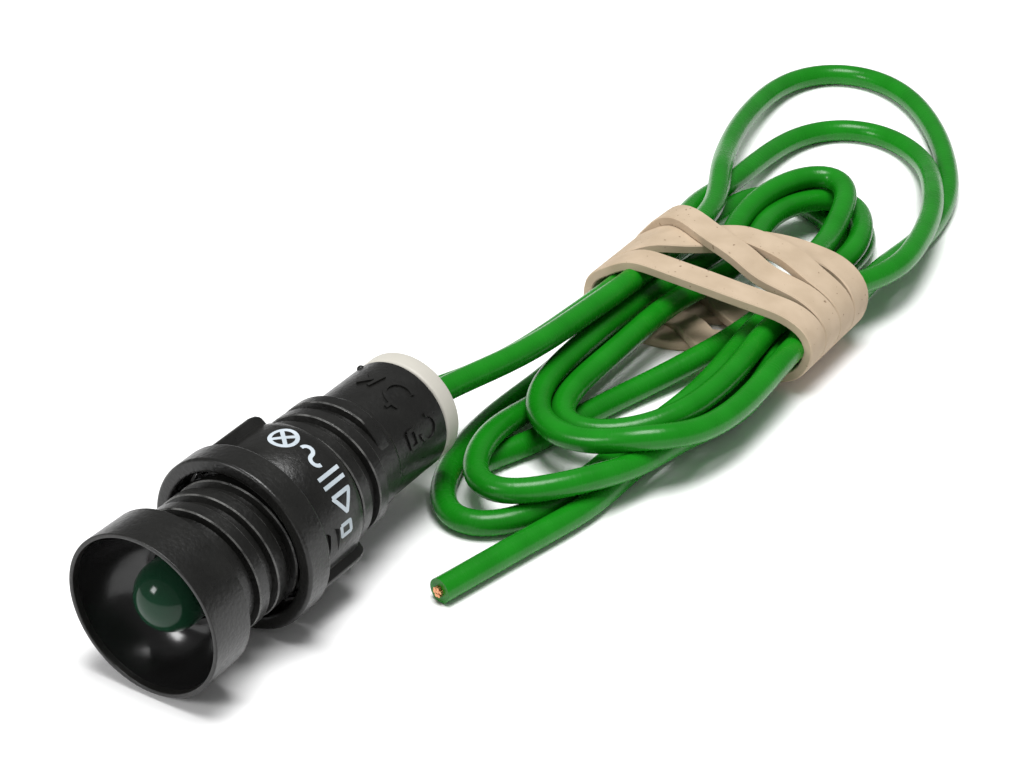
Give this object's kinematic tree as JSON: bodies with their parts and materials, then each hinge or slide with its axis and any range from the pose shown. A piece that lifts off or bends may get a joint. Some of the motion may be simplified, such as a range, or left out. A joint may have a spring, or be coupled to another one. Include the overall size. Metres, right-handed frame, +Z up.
{
  "type": "panel indicator lamp",
  "caption": "Panel indicator lamp with a funnel bezel, LED, threaded barrel, ring and nut, on two green leads folded in a hank and held by a rubber band.",
  "frame": {"origin": "on the ground under the middle of the lamp, whose leads and hank are left out of the measure", "axes": "+Y along the lamp's axis from the bezel to the rear cap, +Z up, +X to the lamp's left as it faces -Y"},
  "size_m": [0.0295, 0.1108, 0.0131],
  "materials": {
    "black_plastic": "satin moulded nylon, glossy in the funnel",
    "white_plastic": "satin moulded plastic",
    "green_epoxy": "clear tinted epoxy, polished",
    "tinned_steel": "tinned",
    "chip": "satin",
    "potting_resin": "cast",
    "resistor_coat": "dipped lacquer",
    "diode_moulding": "moulded",
    "shrink_sleeve": "shrunk",
    "solder_tin": "bright",
    "copper": "bare cut strands",
    "green_pvc": "extruded, slightly glossy",
    "cream_rubber": "matt, dusty"
  },
  "bodies": {
    "lamp": {"body_shell": "black_plastic", "rear_cap": "white_plastic", "led_lens": "green_epoxy", "led_anode_post": "tinned_steel", "led_cathode_cup": "tinned_steel", "led_chip": "chip", "led_potting": "potting_resin", "series_resistor": "resistor_coat", "resistor_front_lead": "tinned_steel", "resistor_rear_lead": "tinned_steel", "resistor_sleeve": "shrink_sleeve", "rectifier_diode": "diode_moulding", "diode_front_lead": "tinned_steel", "diode_rear_lead": "tinned_steel", "diode_sleeve": "shrink_sleeve", "solder_anode": "solder_tin", "solder_cathode": "solder_tin", "solder_lead_a": "solder_tin", "solder_lead_b": "solder_tin", "lead_a_core": "copper", "lead_b_core": "copper", "lead_a": "green_pvc", "lead_b": "green_pvc", "free_end_a": "green_pvc", "copper_end": "copper", "wire_hank": "green_pvc", "rubber_band": "cream_rubber"},
    "ring": {"pressure_ring": "black_plastic"},
    "nut": {"panel_nut": "black_plastic"}
  },
  "joints": [
    {"name": "ring_slide", "type": "slide", "parent": "lamp", "child": "ring", "axis": [0, 1, 0], "range_m": [-0.005, 0.0058]},
    {"name": "nut_turn", "type": "hinge", "parent": "ring", "child": "nut", "pos_m": [0, -0.0007, 0.00654], "axis": [0, 1, 0], "range_deg": [-929.8, 1078.3]}
  ],
  "couplings": [
    {"joint": "nut_turn", "follows": "ring_slide", "rad_per_m": 3238.8}
  ]
}
